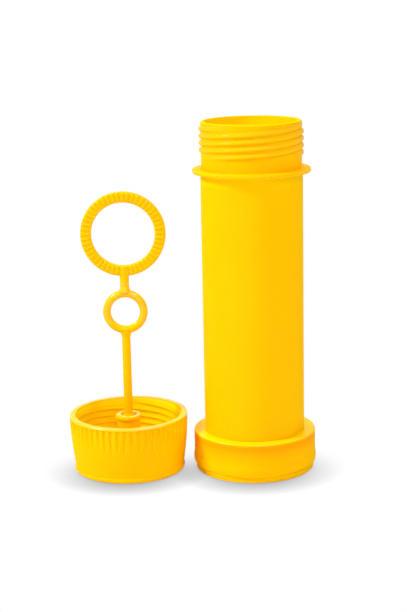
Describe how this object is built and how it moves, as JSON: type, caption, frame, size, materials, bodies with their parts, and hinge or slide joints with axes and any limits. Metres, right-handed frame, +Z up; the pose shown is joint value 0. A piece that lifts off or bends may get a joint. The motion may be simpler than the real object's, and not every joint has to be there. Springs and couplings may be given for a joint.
{
  "type": "bubble wand bottle",
  "caption": "Tall round bubble bottle with a threaded neck and a base cup, beside its fluted screw cap, which carries an upright wand with a small and a large ribbed loop.",
  "frame": {"origin": "centre of the bottle's standing ring, on the surface that it stands on", "axes": "+Z up along the bottle's axis and out of its mouth, +X from the cap's side to the bottle's, -Y towards the viewer"},
  "size_m": [0.0853, 0.0424, 0.12],
  "materials": {
    "bottle": "glossy moulded polypropylene, faintly translucent",
    "base": "glossy moulded polypropylene",
    "cap": "glossy moulded polypropylene",
    "wand": "glossy moulded polypropylene"
  },
  "bodies": {
    "bottle": {"bottle_tube": "bottle", "base_cup": "base"},
    "cap": {"screw_cap": "cap", "bubble_wand": "wand"}
  },
  "joints": [
    {"name": "cap_lift", "type": "slide", "parent": "bottle", "child": "cap", "axis": [0, 0, 1], "range_m": [0, 0.13]}
  ]
}
